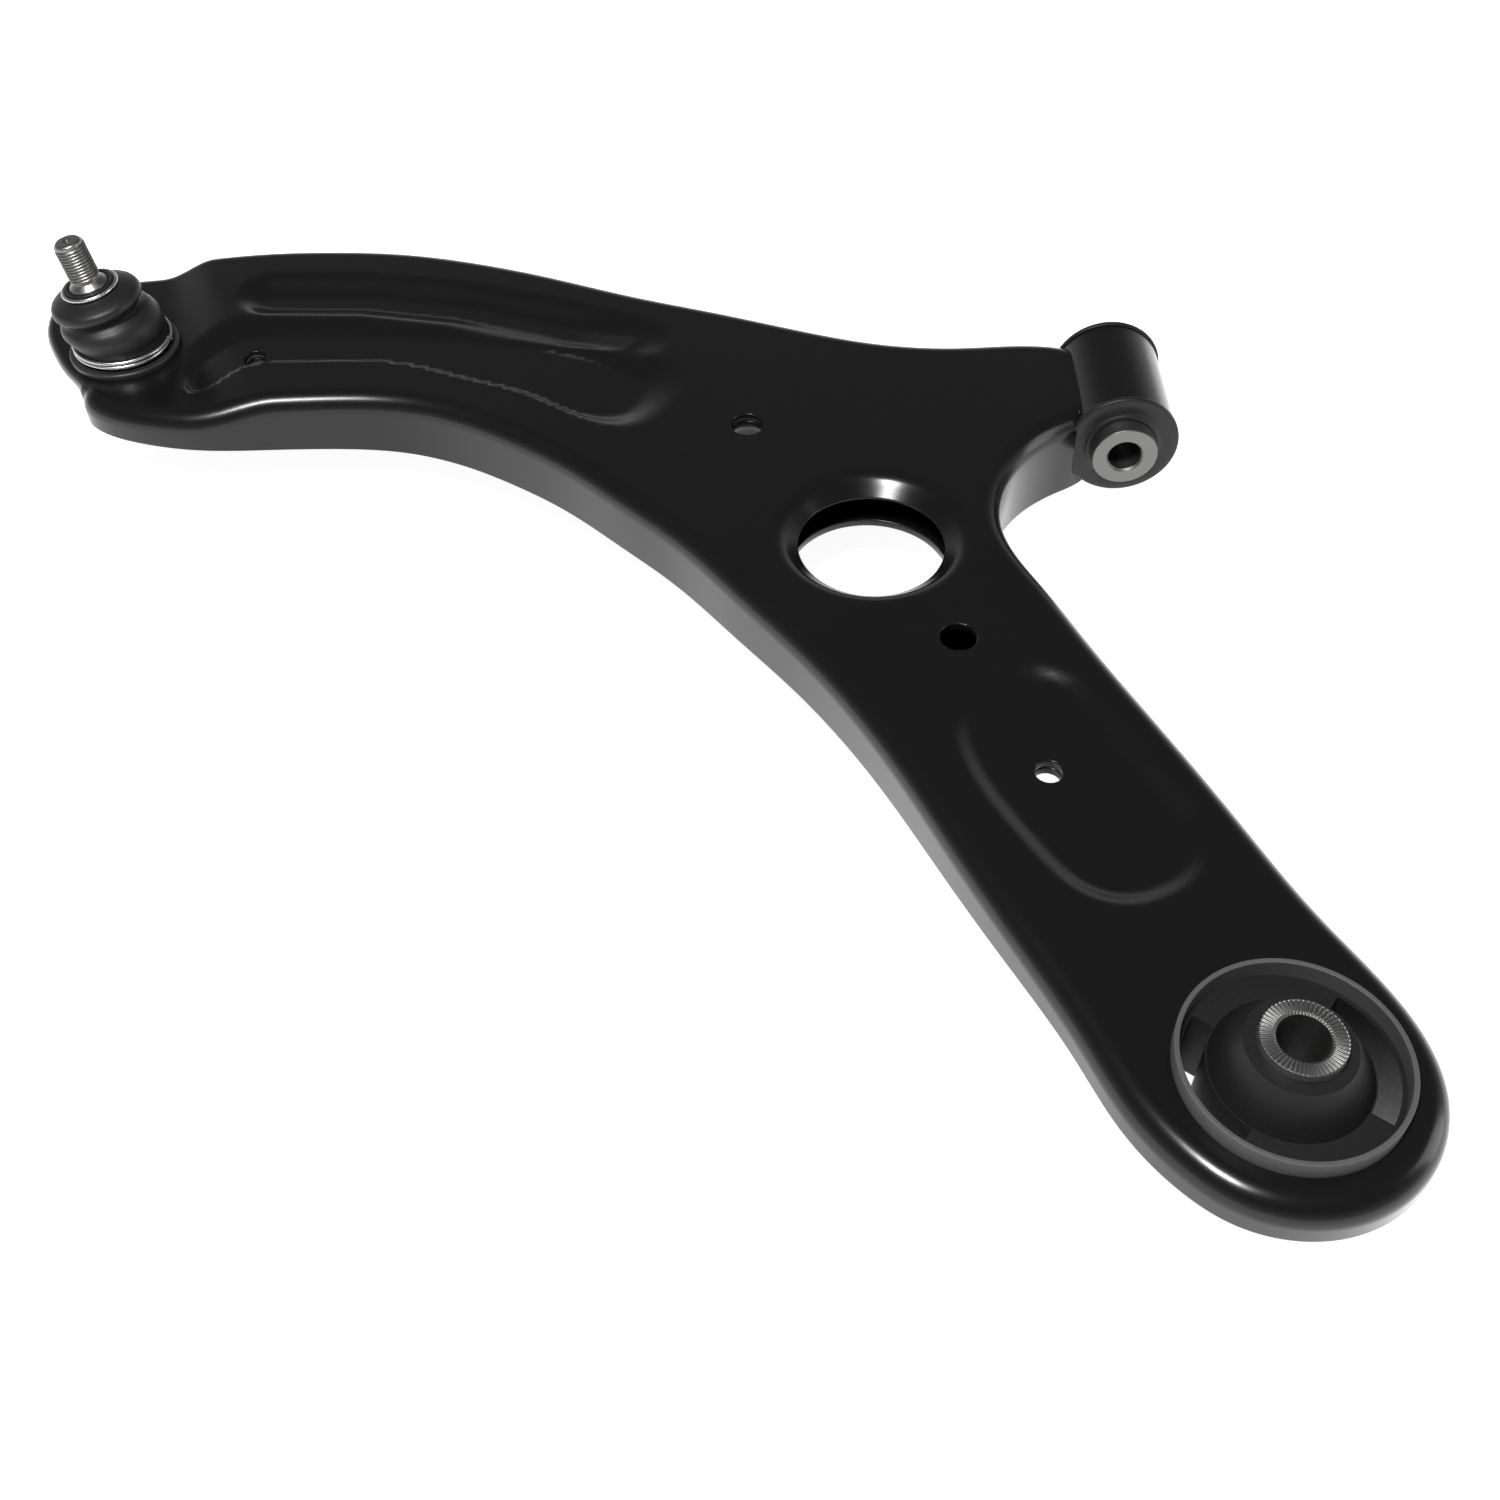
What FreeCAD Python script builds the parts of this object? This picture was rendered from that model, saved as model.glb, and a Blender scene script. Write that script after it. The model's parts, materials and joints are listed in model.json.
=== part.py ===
import FreeCAD, Part
import math
import os

# Stamped clamshell front lower control arm with two bushings and one ball joint. Millimetres.
# Origin: centre of the rear bushing, on its vertical bolt axis.
# +Z is up in the car, +Y runs from the rear bushing to the front bushing along the pivot axis,
# -X runs outboard to the ball joint.

V = FreeCAD.Vector
UP = V(0, 0, 1)
FORWARD = V(0, 1, 0)
FULL_TURN = 360.0

# ---- sheet metal ----
SHEET = 3.0
PLATE_TOP = 13.0
PLATFORM_TOP = 6.0
RIM_ROUND = 7.5
SHELL_GAP = 0.2
RIM_MARGIN = 0.5
FLANGE_TOP = 3.0
SEAM_STEP = 2.2
SEAM_BEAD = 2.0
SEAM_LEN = 34.0
FLOOR_Z = -12.0
DEEP = -40.0
TALL = 60.0
WIDE = 900.0

# outline of the outer wall, corner by corner, counter-clockwise seen from above
BULB_R = 42.5
BULB_ANGLES = [222, 240, 262, 285, 308, 330, 352, 374]
RIGHT_EDGE = [(22.0, 50.9), (3.4, 91.2), (-15.2, 131.5), (-31.0, 165.6), (-41.6, 190.0)]
NOTCH_EDGE = [(-49.6, 207.5), (-53.4, 222.0), (-52.6, 237.0), (-47.6, 252.0), (-38.5, 265.0), (-26.0, 275.5)]
EYE_END = [(-14.0, 284.0), (-8.0, 297.0), (-8.0, 312.0), (-14.0, 325.0)]
FAR_EDGE = [(-28.0, 330.2), (-60.0, 329.6), (-92.0, 332.6), (-120.0, 341.2), (-155.0, 354.4),
            (-190.0, 366.8), (-226.0, 381.6), (-256.0, 392.0), (-288.0, 399.4), (-322.0, 401.8),
            (-356.0, 400.4)]
NOSE_CENTRE = (-386.0, 350.0)
NOSE_R = 47.5
NOSE_ANGLES = [90, 112, 134, 156, 178, 200, 222, 243]
NEAR_EDGE = [(-396.0, 301.0), (-382.0, 293.2), (-360.0, 291.2), (-330.0, 293.2), (-300.0, 294.6),
             (-276.0, 292.6), (-255.0, 285.4), (-235.0, 274.0), (-213.0, 258.0), (-190.0, 236.2),
             (-171.0, 217.0), (-150.0, 190.0), (-129.0, 162.0), (-113.6, 138.0), (-98.0, 108.0),
             (-82.6, 73.4), (-67.0, 40.0), (-54.2, 11.8), (-44.6, -10.6)]

# lower edge of the skirt: (distance, height) along the rear leg and along the front arm
LEG_FOOT = [(-80.0, 0.0), (0.0, 0.0), (60.0, -3.6), (110.0, -7.2), (160.0, -9.8), (215.0, -12.0),
            (430.0, -12.0)]
ARM_FOOT = [(-470.0, -0.6), (-405.0, -1.0), (-372.0, -4.4), (-335.0, -8.8), (-300.0, -10.6),
            (-257.0, -12.0), (-150.0, -12.0), (80.0, -12.0)]
STEP_START_X = -350.0
STEP_END_X = -380.0
STEP_ROUND = 26.0

# ---- stitch welds: middle of each bead on the outline ----
SEAM_SPOTS = [(-330.0, 293.0), (-255.0, 286.0), (-190.0, 236.0), (-129.0, 162.0), (-82.0, 73.0),
              (18.0, 60.0), (-15.0, 131.0), (-54.0, 222.0), (-92.0, 333.0), (-190.0, 367.0),
              (-270.0, 396.0), (-340.0, 401.0)]

# ---- holes and pressings ----
BIG_HOLE = (-101.0, 213.6)
BIG_HOLE_R = 26.0
LIP_ROUND = 9.4
LIP_DROP = 5.6
LIP_MID = (5.0, 1.5)
LIP_MID_LOW = (6.6, 1.0)
LOWER_HOLE_R = 27.5
LOWER_LIP_RISE = 4.0
TOOL_HOLE = (-74.6, 163.6)
TOOL_HOLE_R = 6.6
THROUGH_HOLES = [((-144.2, 277.4), 6.5, 0.0), ((-51.0, 107.6), 4.8, 3.2), ((-338.8, 326.0), 4.8, 3.0)]
DIMPLE_TOP_R = 11.0
DIMPLE_IN_R = 8.6
DIMPLE_FOOT_SPREAD = 7.0
POCKET_ENDS = [(-53.0, 125.0), (-34.5, 78.5)]
POCKET_R = 23.0
POCKET_DEPTH = 3.2
WEB_DEPTH = 3.0
WEB_NEAR = [(-190.0, 281.5), (-200.0, 284.0), (-230.0, 300.5), (-262.0, 313.2), (-295.0, 319.4),
            (-326.0, 318.4), (-344.0, 311.0)]
WEB_FAR = [(-352.0, 326.0), (-345.0, 342.0), (-300.0, 347.0), (-240.0, 340.0), (-200.0, 326.0),
           (-184.0, 304.0)]
GROOVE_PATH = [(-336.0, 366.0), (-300.0, 365.5), (-262.0, 358.0), (-222.0, 344.0), (-196.0, 334.0)]
GROOVE_R = 10.0
GROOVE_DEPTH = 5.0

# ---- front bushing (bolt runs fore and aft) ----
FRONT = V(-2.0, 304.5, 0.0)
EYE_R = 20.5
EYE_BORE_R = 18.2
EYE_LEN = 46.0
FRONT_SHELL_BORE_R = 16.7
FRONT_SHELL_LEN = 44.0
FRONT_INNER_R = 12.2
FRONT_BOLT_R = 6.25
FRONT_INNER_LEN = 64.0
FRONT_FLANGE_R = 21.3
FRONT_FLANGE_T = 3.0
FRONT_FLANGE_ROUND = 0.9
WELD_R = 23.4
WELD_GAP = 0.1

# ---- rear bushing (bolt runs up and down) ----
REAR_OUTER_R = 31.5
REAR_OUTER_BORE_R = 30.0
REAR_OUTER_HALF = 19.0
REAR_INNER_R = 11.6
REAR_BOLT_R = 7.2
REAR_INNER_HALF = 29.0
REAR_RUBBER_HALF = 13.0
REAR_HUB_R = 15.0
REAR_HUB_HALF = 25.0
REAR_HUB_FOOT_R = 22.0
REAR_LINER_R = 28.6
REAR_VOID_IN_R = 22.4
REAR_VOID_HALF_ANGLE = 44.0
REAR_VOID_TURN = 8.0
BOLT_CHAMFER = 0.8

# ---- ball joint ----
JOINT_XY = (-394.0, 338.5)
BALL_Z = -6.0
BALL_R = 13.5
SEAT_GAP = 0.05
SEAT_R = 15.6
SEAT_BOTTOM = -16.5
SEAT_TOP = 2.6
HOUSING_R = 19.0
HOUSING_BOTTOM = -23.0
HOUSING_FLANGE_R = 21.6
HOUSING_FLANGE_TOP = 8.4
HOUSING_COLLAR_R = 16.4
HOUSING_TOP = 11.8
HOUSING_MOUTH_R = 13.6
HOUSING_EDGE = 0.6
MOUTH_FLARE = 0.3
THROAT_GAP = 0.2
CAP_STEP = 1.2
CAP_LAP = 1.0
CAP_T = 2.6
CAP_FLOOR = -19.6
RING_T = 1.8
RING_R = 22.0
RING_TOP = -2.8
STUD_LEAN_DEG = 8.3
NECK_R = 5.9
NECK_TOP = 26.0
SHOULDER_R = 7.6
SHOULDER_Z = 38.0
SHOULDER_TOP = 43.0
SHANK_TOP = 45.0
THREAD_R = 6.0
STUD_TIP = 61.5
TIP_CHAMFER = 1.6
TIP_DIMPLE_R = 1.4
BOOT_T = 1.5
BOOT_FOOT_Z = 9.0
BOOT_LOWER_SPINE = [(17.9, 2.6), (18.6, 5.5), (19.2, 9.5), (18.0, 13.6), (15.4, 16.2)]
BOOT_UPPER_SPINE = [(15.6, 32.2), (17.6, 34.6), (16.4, 37.4), (12.0, 39.4), (9.7, 40.6), (9.3, 42.6)]
CLIP_WIRE_R = 0.9
CLIP_GAP = 0.05
LOWER_CLIP_RISE = 1.3
UPPER_CLIP_SEAT_R = 9.6
UPPER_CLIP_Z = 41.6


def circle_points(centre, radius, angles):
    points = []
    for angle in angles:
        a = math.radians(angle)
        points.append((centre[0] + radius * math.cos(a), centre[1] + radius * math.sin(a)))
    return points


def moved_in(points, inset):
    """Points of a closed counter-clockwise outline, each moved inward along its own normal."""
    moved = []
    for i, (x, y) in enumerate(points):
        before = points[i - 1]
        after = points[(i + 1) % len(points)]
        along = V(x - before[0], y - before[1], 0).normalize()
        along += V(after[0] - x, after[1] - y, 0).normalize()
        along.normalize()
        moved.append((x - along.y * inset, y + along.x * inset))
    return moved


def smooth_wire(points, height):
    curve = Part.BSplineCurve()
    curve.interpolate([V(x, y, height) for x, y in points], PeriodicFlag=True)
    return Part.Wire(curve.toShape())


def arm_outline(inset):
    points = circle_points((0.0, 0.0), BULB_R, BULB_ANGLES)
    points += RIGHT_EDGE + NOTCH_EDGE + EYE_END + FAR_EDGE
    points += circle_points(NOSE_CENTRE, NOSE_R, NOSE_ANGLES)
    points += NEAR_EDGE
    return smooth_wire(moved_in(points, inset), 0)


def profile_under(points, raise_by):
    """Solid filling everything below a smooth foot line drawn in a vertical plane (u, z)."""
    curve = Part.BSplineCurve()
    curve.interpolate([V(u, 0, z + raise_by) for u, z in points])
    first = V(points[0][0], 0, points[0][1] + raise_by)
    last = V(points[-1][0], 0, points[-1][1] + raise_by)
    low_first = V(first.x, 0, DEEP - TALL)
    low_last = V(last.x, 0, DEEP - TALL)
    edges = [curve.toShape(), Part.makeLine(last, low_last), Part.makeLine(low_last, low_first)]
    edges.append(Part.makeLine(low_first, first))
    face = Part.Face(Part.Wire(edges))
    solid = face.extrude(V(0, WIDE, 0))
    solid.translate(V(0, -WIDE / 2, 0))
    return solid


def under_leg(raise_by):
    solid = profile_under(LEG_FOOT, raise_by)
    solid.rotate(V(0, 0, 0), UP, 90)
    return solid


def under_arm(raise_by):
    return profile_under(ARM_FOOT, raise_by)


def top_envelope(drop):
    """Everything below the upper skin: flat plate, then the step down to the ball joint platform."""
    top = PLATE_TOP - drop
    low = PLATFORM_TOP - drop
    corners = [V(WIDE / 2, 0, top), V(STEP_START_X, 0, top), V(STEP_END_X, 0, low), V(-WIDE, 0, low),
               V(-WIDE, 0, DEEP), V(WIDE / 2, 0, DEEP)]
    face = Part.Face(Part.makePolygon(corners + corners[:1]))
    solid = face.extrude(V(0, WIDE, 0))
    bends = []
    for edge in solid.Edges:
        box = edge.BoundBox
        at_bend = abs(box.XMin - STEP_START_X) < 0.01 or abs(box.XMin - STEP_END_X) < 0.01
        if box.YLength > WIDE / 2 and at_bend:
            bends.append(edge)
    solid = solid.makeFillet(STEP_ROUND, bends)
    solid.translate(V(0, -WIDE / 2, 0))
    return solid


def wall_prism(inset):
    prism = Part.Face(arm_outline(inset)).extrude(V(0, 0, TALL - DEEP))
    prism.translate(V(0, 0, DEEP))
    return prism


def arm_block(inset):
    """The arm as a solid block, its wall and skin moved in by the inset and its rim rounded."""
    block = wall_prism(inset).common(top_envelope(inset))
    low = PLATFORM_TOP - inset - RIM_MARGIN
    rim = [e for e in block.Edges if e.BoundBox.ZMin > low and not is_cross_edge(e)]
    return block.makeFillet(RIM_ROUND - inset, rim)


def is_cross_edge(edge):
    """True for a line that crosses the top skin instead of running along the rim."""
    return isinstance(edge.Curve, Part.Line) and edge.BoundBox.YLength > edge.BoundBox.XLength * 50


def post(centre, radius, bottom, top):
    return Part.makeCylinder(radius, top - bottom, V(centre[0], centre[1], bottom), UP)


def cone(centre, r_bottom, r_top, bottom, top):
    return Part.makeCone(r_bottom, r_top, top - bottom, V(centre[0], centre[1], bottom), UP)


def stadium(ends, radius, bottom, top):
    a, b = V(ends[0][0], ends[0][1], bottom), V(ends[1][0], ends[1][1], bottom)
    along = b - a
    along.normalize()
    side = V(-along.y, along.x, 0) * radius
    slab = Part.Face(Part.makePolygon([a + side, b + side, b - side, a - side, a + side]))
    solid = slab.extrude(V(0, 0, top - bottom))
    solid = solid.fuse([post(ends[0], radius, bottom, top), post(ends[1], radius, bottom, top)])
    return solid.removeSplitter()


def web_field(bottom, top, grow):
    """Shallow recess between the near rail and the groove."""
    wire = smooth_wire(moved_in(WEB_NEAR + WEB_FAR, grow), bottom)
    return Part.Face(wire).extrude(V(0, 0, top - bottom))


def groove(bottom, top, radius):
    solid = None
    for start, end in zip(GROOVE_PATH[:-1], GROOVE_PATH[1:]):
        piece = stadium([start, end], radius, bottom, top)
        solid = piece if solid is None else solid.fuse(piece)
    return solid.removeSplitter()


def pressings(drop, grow):
    """Volumes pressed down from a skin that lies the given drop under the outer skin."""
    top = PLATE_TOP + SHEET
    skin = PLATE_TOP - drop
    return [
        stadium(POCKET_ENDS, POCKET_R + grow, skin - POCKET_DEPTH, top),
        web_field(skin - WEB_DEPTH, top, grow),
        groove(skin - GROOVE_DEPTH, top, GROOVE_R + grow),
    ]


def eye_clear(radius):
    start = V(FRONT.x, FRONT.y - EYE_LEN, FRONT.z)
    return Part.makeCylinder(radius, EYE_LEN * 2, start, FORWARD)


def rolled_lip_outer():
    """Solid ring whose upper face rolls down into the large hole."""
    x, y = BIG_HOLE
    outer = BIG_HOLE_R + LIP_ROUND
    profile = [V(BIG_HOLE_R, 0, PLATE_TOP - LIP_DROP), V(BIG_HOLE_R, 0, PLATE_TOP - LIP_DROP - SHEET),
               V(outer, 0, PLATE_TOP - SHEET), V(outer, 0, PLATE_TOP)]
    mid = V(BIG_HOLE_R + LIP_MID[0], 0, PLATE_TOP - LIP_MID[1])
    mid_low = V(BIG_HOLE_R + LIP_MID_LOW[0], 0, PLATE_TOP - SHEET - LIP_MID_LOW[1])
    edges = [Part.makeLine(profile[0], profile[1]), Part.Arc(profile[1], mid_low, profile[2]).toShape(),
             Part.makeLine(profile[2], profile[3]), Part.Arc(profile[3], mid, profile[0]).toShape()]
    ring = Part.Face(Part.Wire(edges)).revolve(V(0, 0, 0), UP, FULL_TURN)
    ring.translate(V(x, y, 0))
    return ring


def upper_shell():
    outer = arm_block(0.0)
    cavity = arm_block(SHEET)
    for volume in pressings(0.0, 0.0):
        outer = outer.cut(volume)
    for volume in pressings(SHEET, SHEET):
        cavity = cavity.cut(volume)
    shell = outer.cut([cavity, under_leg(0.0), under_arm(0.0), eye_clear(WELD_R + WELD_GAP)])
    shell = shell.cut(post(BIG_HOLE, BIG_HOLE_R + LIP_ROUND, DEEP, TALL))
    shell = shell.fuse(rolled_lip_outer())
    cuts = [post((0, 0), REAR_OUTER_R, DEEP, TALL), post(TOOL_HOLE, TOOL_HOLE_R, DEEP, TALL)]
    cuts += [post(centre, radius, DEEP, TALL) for centre, radius, depth in THROUGH_HOLES]
    cuts.append(post(JOINT_XY, HOUSING_R, DEEP, TALL))
    cuts.append(post(JOINT_XY, HOUSING_FLANGE_R, PLATFORM_TOP, TALL))
    shell = shell.cut(cuts)
    return shell.removeSplitter()


def lower_shell():
    inset = SHEET + SHELL_GAP
    outer = arm_block(inset)
    room = arm_block(inset + SHEET)
    room = room.cut([under_leg(SEAM_STEP + SHEET), under_arm(SEAM_STEP + SHEET)])
    for volume in pressings(inset, inset):
        outer = outer.cut(volume)
    tray = outer.cut([room, under_leg(SEAM_STEP), under_arm(SEAM_STEP)])
    lid = Part.makeBox(WIDE * 2, WIDE * 2, TALL, V(-WIDE, -WIDE, FLANGE_TOP))
    tray = tray.cut([lid, eye_clear(WELD_R + WELD_GAP)])
    floor = FLOOR_Z + SEAM_STEP
    for centre, radius, depth in THROUGH_HOLES:
        seat = PLATE_TOP - SHEET - depth
        foot = DIMPLE_TOP_R + DIMPLE_FOOT_SPREAD
        dimple = cone(centre, foot, DIMPLE_TOP_R, floor, seat)
        hollow = cone(centre, foot - SHEET, DIMPLE_IN_R, floor - SHEET, seat - SHEET)
        dimple = dimple.cut([under_leg(SEAM_STEP), under_arm(SEAM_STEP)])
        hollow = hollow.fuse(post(centre, radius, DEEP, TALL))
        tray = tray.fuse(dimple).cut(hollow)
    lip = post(BIG_HOLE, LOWER_HOLE_R + SHEET, floor, floor + SHEET + LOWER_LIP_RISE)
    tray = tray.fuse(lip)
    cuts = [post(BIG_HOLE, LOWER_HOLE_R, DEEP, TALL), post((0, 0), REAR_OUTER_R, DEEP, TALL)]
    cuts.append(post(JOINT_XY, HOUSING_R, DEEP, TALL))
    return tray.cut(cuts).removeSplitter()


def tube_along(axis, centre, r_out, r_in, length):
    start = centre - axis * (length / 2)
    tube = Part.makeCylinder(r_out, length, start, axis)
    if r_in > 0:
        tube = tube.cut(Part.makeCylinder(r_in, length, start, axis))
    return tube


def bolt_sleeve(axis, centre, r_out, r_in, length):
    """Thick sleeve, the mouth of its bore chamfered at both ends."""
    sleeve = tube_along(axis, centre, r_out, r_in, length)
    mouths = []
    for edge in sleeve.Edges:
        if hasattr(edge.Curve, "Radius") and abs(edge.Curve.Radius - r_in) < 0.01:
            if isinstance(edge.Curve, Part.Circle):
                mouths.append(edge)
    return sleeve.makeChamfer(BOLT_CHAMFER, mouths)


def revolved(points):
    """Ring turned from a closed (radius, height) profile."""
    corners = [V(r, 0, z) for r, z in points]
    face = Part.Face(Part.makePolygon(corners + corners[:1]))
    return face.revolve(V(0, 0, 0), UP, FULL_TURN)


def bellows(spine, thickness):
    """Thin skin turned from a smooth spine of (radius, height) points."""
    outer = Part.BSplineCurve()
    outer.interpolate([V(r, 0, z) for r, z in spine])
    inner = Part.BSplineCurve()
    inner.interpolate([V(r - thickness, 0, z) for r, z in spine])
    edges = [outer.toShape(), Part.makeLine(V(spine[-1][0], 0, spine[-1][1]),
                                            V(spine[-1][0] - thickness, 0, spine[-1][1])),
             inner.toShape(), Part.makeLine(V(spine[0][0] - thickness, 0, spine[0][1]),
                                            V(spine[0][0], 0, spine[0][1]))]
    face = Part.Face(Part.Wire(Part.__sortEdges__(edges)))
    return face.revolve(V(0, 0, 0), UP, FULL_TURN)


def at_joint(shape, lean):
    """Move a shape drawn about the ball centre to the ball joint, leaning outboard when asked."""
    moved = shape.copy()
    if lean:
        moved.rotate(V(0, 0, 0), FORWARD, -STUD_LEAN_DEG)
    moved.translate(V(JOINT_XY[0], JOINT_XY[1], BALL_Z))
    return moved


def seat_height(z):
    return z - BALL_Z


# ---- front bushing ----
def front_eye_tube():
    return tube_along(FORWARD, FRONT, EYE_R, EYE_BORE_R, EYE_LEN)


def front_eye_weld():
    """Weld metal between the clamshell and the eye tube, as thick as the upper sheet."""
    ring = tube_along(FORWARD, FRONT, WELD_R, EYE_R, EYE_LEN)
    sheet = arm_block(0.0).cut(arm_block(SHEET)).cut([under_leg(0.0), under_arm(0.0)])
    return ring.common(sheet)


def front_bush_outer_sleeve():
    return tube_along(FORWARD, FRONT, EYE_BORE_R, FRONT_SHELL_BORE_R, FRONT_SHELL_LEN)


def front_bush_rubber():
    core = tube_along(FORWARD, FRONT, FRONT_SHELL_BORE_R, FRONT_INNER_R, EYE_LEN)
    flange_at = V(0, (EYE_LEN + FRONT_FLANGE_T) / 2, 0)
    for side in (-1, 1):
        flange = tube_along(FORWARD, FRONT + flange_at * side, FRONT_FLANGE_R, 0, FRONT_FLANGE_T)
        rims = [e for e in flange.Edges if isinstance(e.Curve, Part.Circle)]
        flange = flange.makeFillet(FRONT_FLANGE_ROUND, rims)
        flange = flange.cut(tube_along(FORWARD, FRONT, FRONT_INNER_R, 0, EYE_LEN * 2))
        core = core.fuse(flange)
    for side in (-1, 1):
        lead = V(0, (EYE_LEN + FRONT_SHELL_LEN) / 4, 0)
        fill = tube_along(FORWARD, FRONT + lead * side, EYE_BORE_R, FRONT_INNER_R,
                          (EYE_LEN - FRONT_SHELL_LEN) / 2)
        core = core.fuse(fill)
    return core.removeSplitter()


def front_bush_inner_sleeve():
    return bolt_sleeve(FORWARD, FRONT, FRONT_INNER_R, FRONT_BOLT_R, FRONT_INNER_LEN)


# ---- rear bushing ----
def rear_bush_outer_sleeve():
    return tube_along(UP, V(0, 0, 0), REAR_OUTER_R, REAR_OUTER_BORE_R, REAR_OUTER_HALF * 2)


def rear_void(turn):
    """Kidney-shaped window that runs right through the rubber."""
    height = REAR_HUB_HALF * 2 + TALL
    ring = tube_along(UP, V(0, 0, 0), REAR_LINER_R, REAR_VOID_IN_R, height)
    a = math.radians(REAR_VOID_HALF_ANGLE)
    reach = REAR_LINER_R * 2
    far = V(reach, 0, -height / 2)
    left = V(reach * math.cos(a), reach * math.sin(a), -height / 2)
    right = V(reach * math.cos(a), -reach * math.sin(a), -height / 2)
    hub = V(0, 0, -height / 2)
    wedge = Part.Face(Part.makePolygon([hub, right, far, left, hub])).extrude(V(0, 0, height))
    window = ring.common(wedge)
    window.rotate(V(0, 0, 0), UP, turn)
    return window


def rear_bush_rubber():
    body = tube_along(UP, V(0, 0, 0), REAR_OUTER_BORE_R, 0, REAR_RUBBER_HALF * 2)
    for side in (-1, 1):
        hub = Part.makeCone(REAR_HUB_FOOT_R, REAR_HUB_R, REAR_HUB_HALF - REAR_RUBBER_HALF,
                            V(0, 0, side * REAR_RUBBER_HALF), UP * side)
        body = body.fuse(hub)
    bore = tube_along(UP, V(0, 0, 0), REAR_INNER_R, 0, REAR_INNER_HALF * 2)
    body = body.cut([bore, rear_void(REAR_VOID_TURN), rear_void(REAR_VOID_TURN + FULL_TURN / 2)])
    return body.removeSplitter()


def rear_bush_inner_sleeve():
    return bolt_sleeve(UP, V(0, 0, 0), REAR_INNER_R, REAR_BOLT_R, REAR_INNER_HALF * 2)


# ---- ball joint, drawn about the ball centre ----
def ball_joint_housing():
    bottom = seat_height(HOUSING_BOTTOM)
    cap_seat = seat_height(CAP_FLOOR)
    flange_low = seat_height(PLATFORM_TOP)
    flange_top = seat_height(HOUSING_FLANGE_TOP)
    top = seat_height(HOUSING_TOP)
    throat = seat_height(SEAT_TOP)
    wall_in = SEAT_R
    return at_joint(revolved([
        (wall_in + CAP_STEP, bottom), (HOUSING_R, bottom), (HOUSING_R, flange_low),
        (HOUSING_FLANGE_R, flange_low), (HOUSING_FLANGE_R, flange_top - HOUSING_EDGE),
        (HOUSING_FLANGE_R - HOUSING_EDGE, flange_top), (HOUSING_COLLAR_R, flange_top),
        (HOUSING_COLLAR_R, top - HOUSING_EDGE), (HOUSING_COLLAR_R - HOUSING_EDGE, top),
        (HOUSING_MOUTH_R, top), (HOUSING_MOUTH_R - MOUTH_FLARE, throat + THROAT_GAP),
        (wall_in, throat + THROAT_GAP), (wall_in, cap_seat), (wall_in + CAP_STEP, cap_seat)]), False)


def ball_seat():
    low = seat_height(SEAT_BOTTOM)
    high = seat_height(SEAT_TOP)
    block = Part.makeCylinder(SEAT_R, high - low, V(0, 0, low), UP)
    block = block.cut(Part.makeSphere(BALL_R + SEAT_GAP))
    return at_joint(block, False)


def ball_joint_end_cap():
    floor = seat_height(CAP_FLOOR)
    cap = Part.makeCylinder(SEAT_R + CAP_LAP, CAP_T, V(0, 0, floor - CAP_T), UP)
    low = floor - CAP_T / 2
    rims = [e for e in cap.Edges if isinstance(e.Curve, Part.Circle) and e.BoundBox.ZMax < low]
    return at_joint(cap.makeFillet(CAP_LAP, rims), False)


def ball_joint_retaining_ring():
    """Snap ring that holds the housing from below; its gap faces inboard."""
    top = seat_height(RING_TOP - RING_T)
    ring = Part.makeCylinder(RING_R, RING_T, V(0, 0, top), UP)
    ring = ring.cut(Part.makeCylinder(HOUSING_R, RING_T, V(0, 0, top), UP))
    gap = Part.makeBox(RING_R * 2, RING_T * 3, RING_T * 4, V(0, -RING_T * 1.5, top - RING_T))
    return at_joint(ring.cut(gap), False)


def ball_stud():
    ball = Part.makeSphere(BALL_R)
    shank = revolved([
        (0, 0), (NECK_R, 0), (NECK_R, NECK_TOP), (SHOULDER_R, SHOULDER_Z), (SHOULDER_R, SHOULDER_TOP - 1.2),
        (THREAD_R, SHANK_TOP), (THREAD_R, STUD_TIP - TIP_CHAMFER), (THREAD_R - TIP_CHAMFER, STUD_TIP),
        (TIP_DIMPLE_R, STUD_TIP), (0, STUD_TIP - TIP_DIMPLE_R)])
    return at_joint(ball.fuse(shank).removeSplitter(), True)


def boot_lower_fold():
    foot = seat_height(BOOT_FOOT_Z)
    spine = [(HOUSING_COLLAR_R + BOOT_T, foot)]
    spine += [(radius, foot + rise) for radius, rise in BOOT_LOWER_SPINE]
    skin = bellows(spine, BOOT_T)
    return at_joint(skin.cut(Part.makeCylinder(HOUSING_COLLAR_R, STUD_TIP)), False)


def boot_upper_fold():
    return at_joint(bellows(BOOT_UPPER_SPINE, BOOT_T), True)


def wire_ring(radius, height):
    ring = Part.makeTorus(radius, CLIP_WIRE_R)
    ring.translate(V(0, 0, height))
    return ring


def boot_lower_clip():
    height = seat_height(BOOT_FOOT_Z) + LOWER_CLIP_RISE
    return at_joint(wire_ring(HOUSING_COLLAR_R + BOOT_T + CLIP_WIRE_R + CLIP_GAP, height), False)


def boot_upper_clip():
    return at_joint(wire_ring(UPPER_CLIP_SEAT_R + CLIP_WIRE_R + CLIP_GAP, UPPER_CLIP_Z), True)


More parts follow.
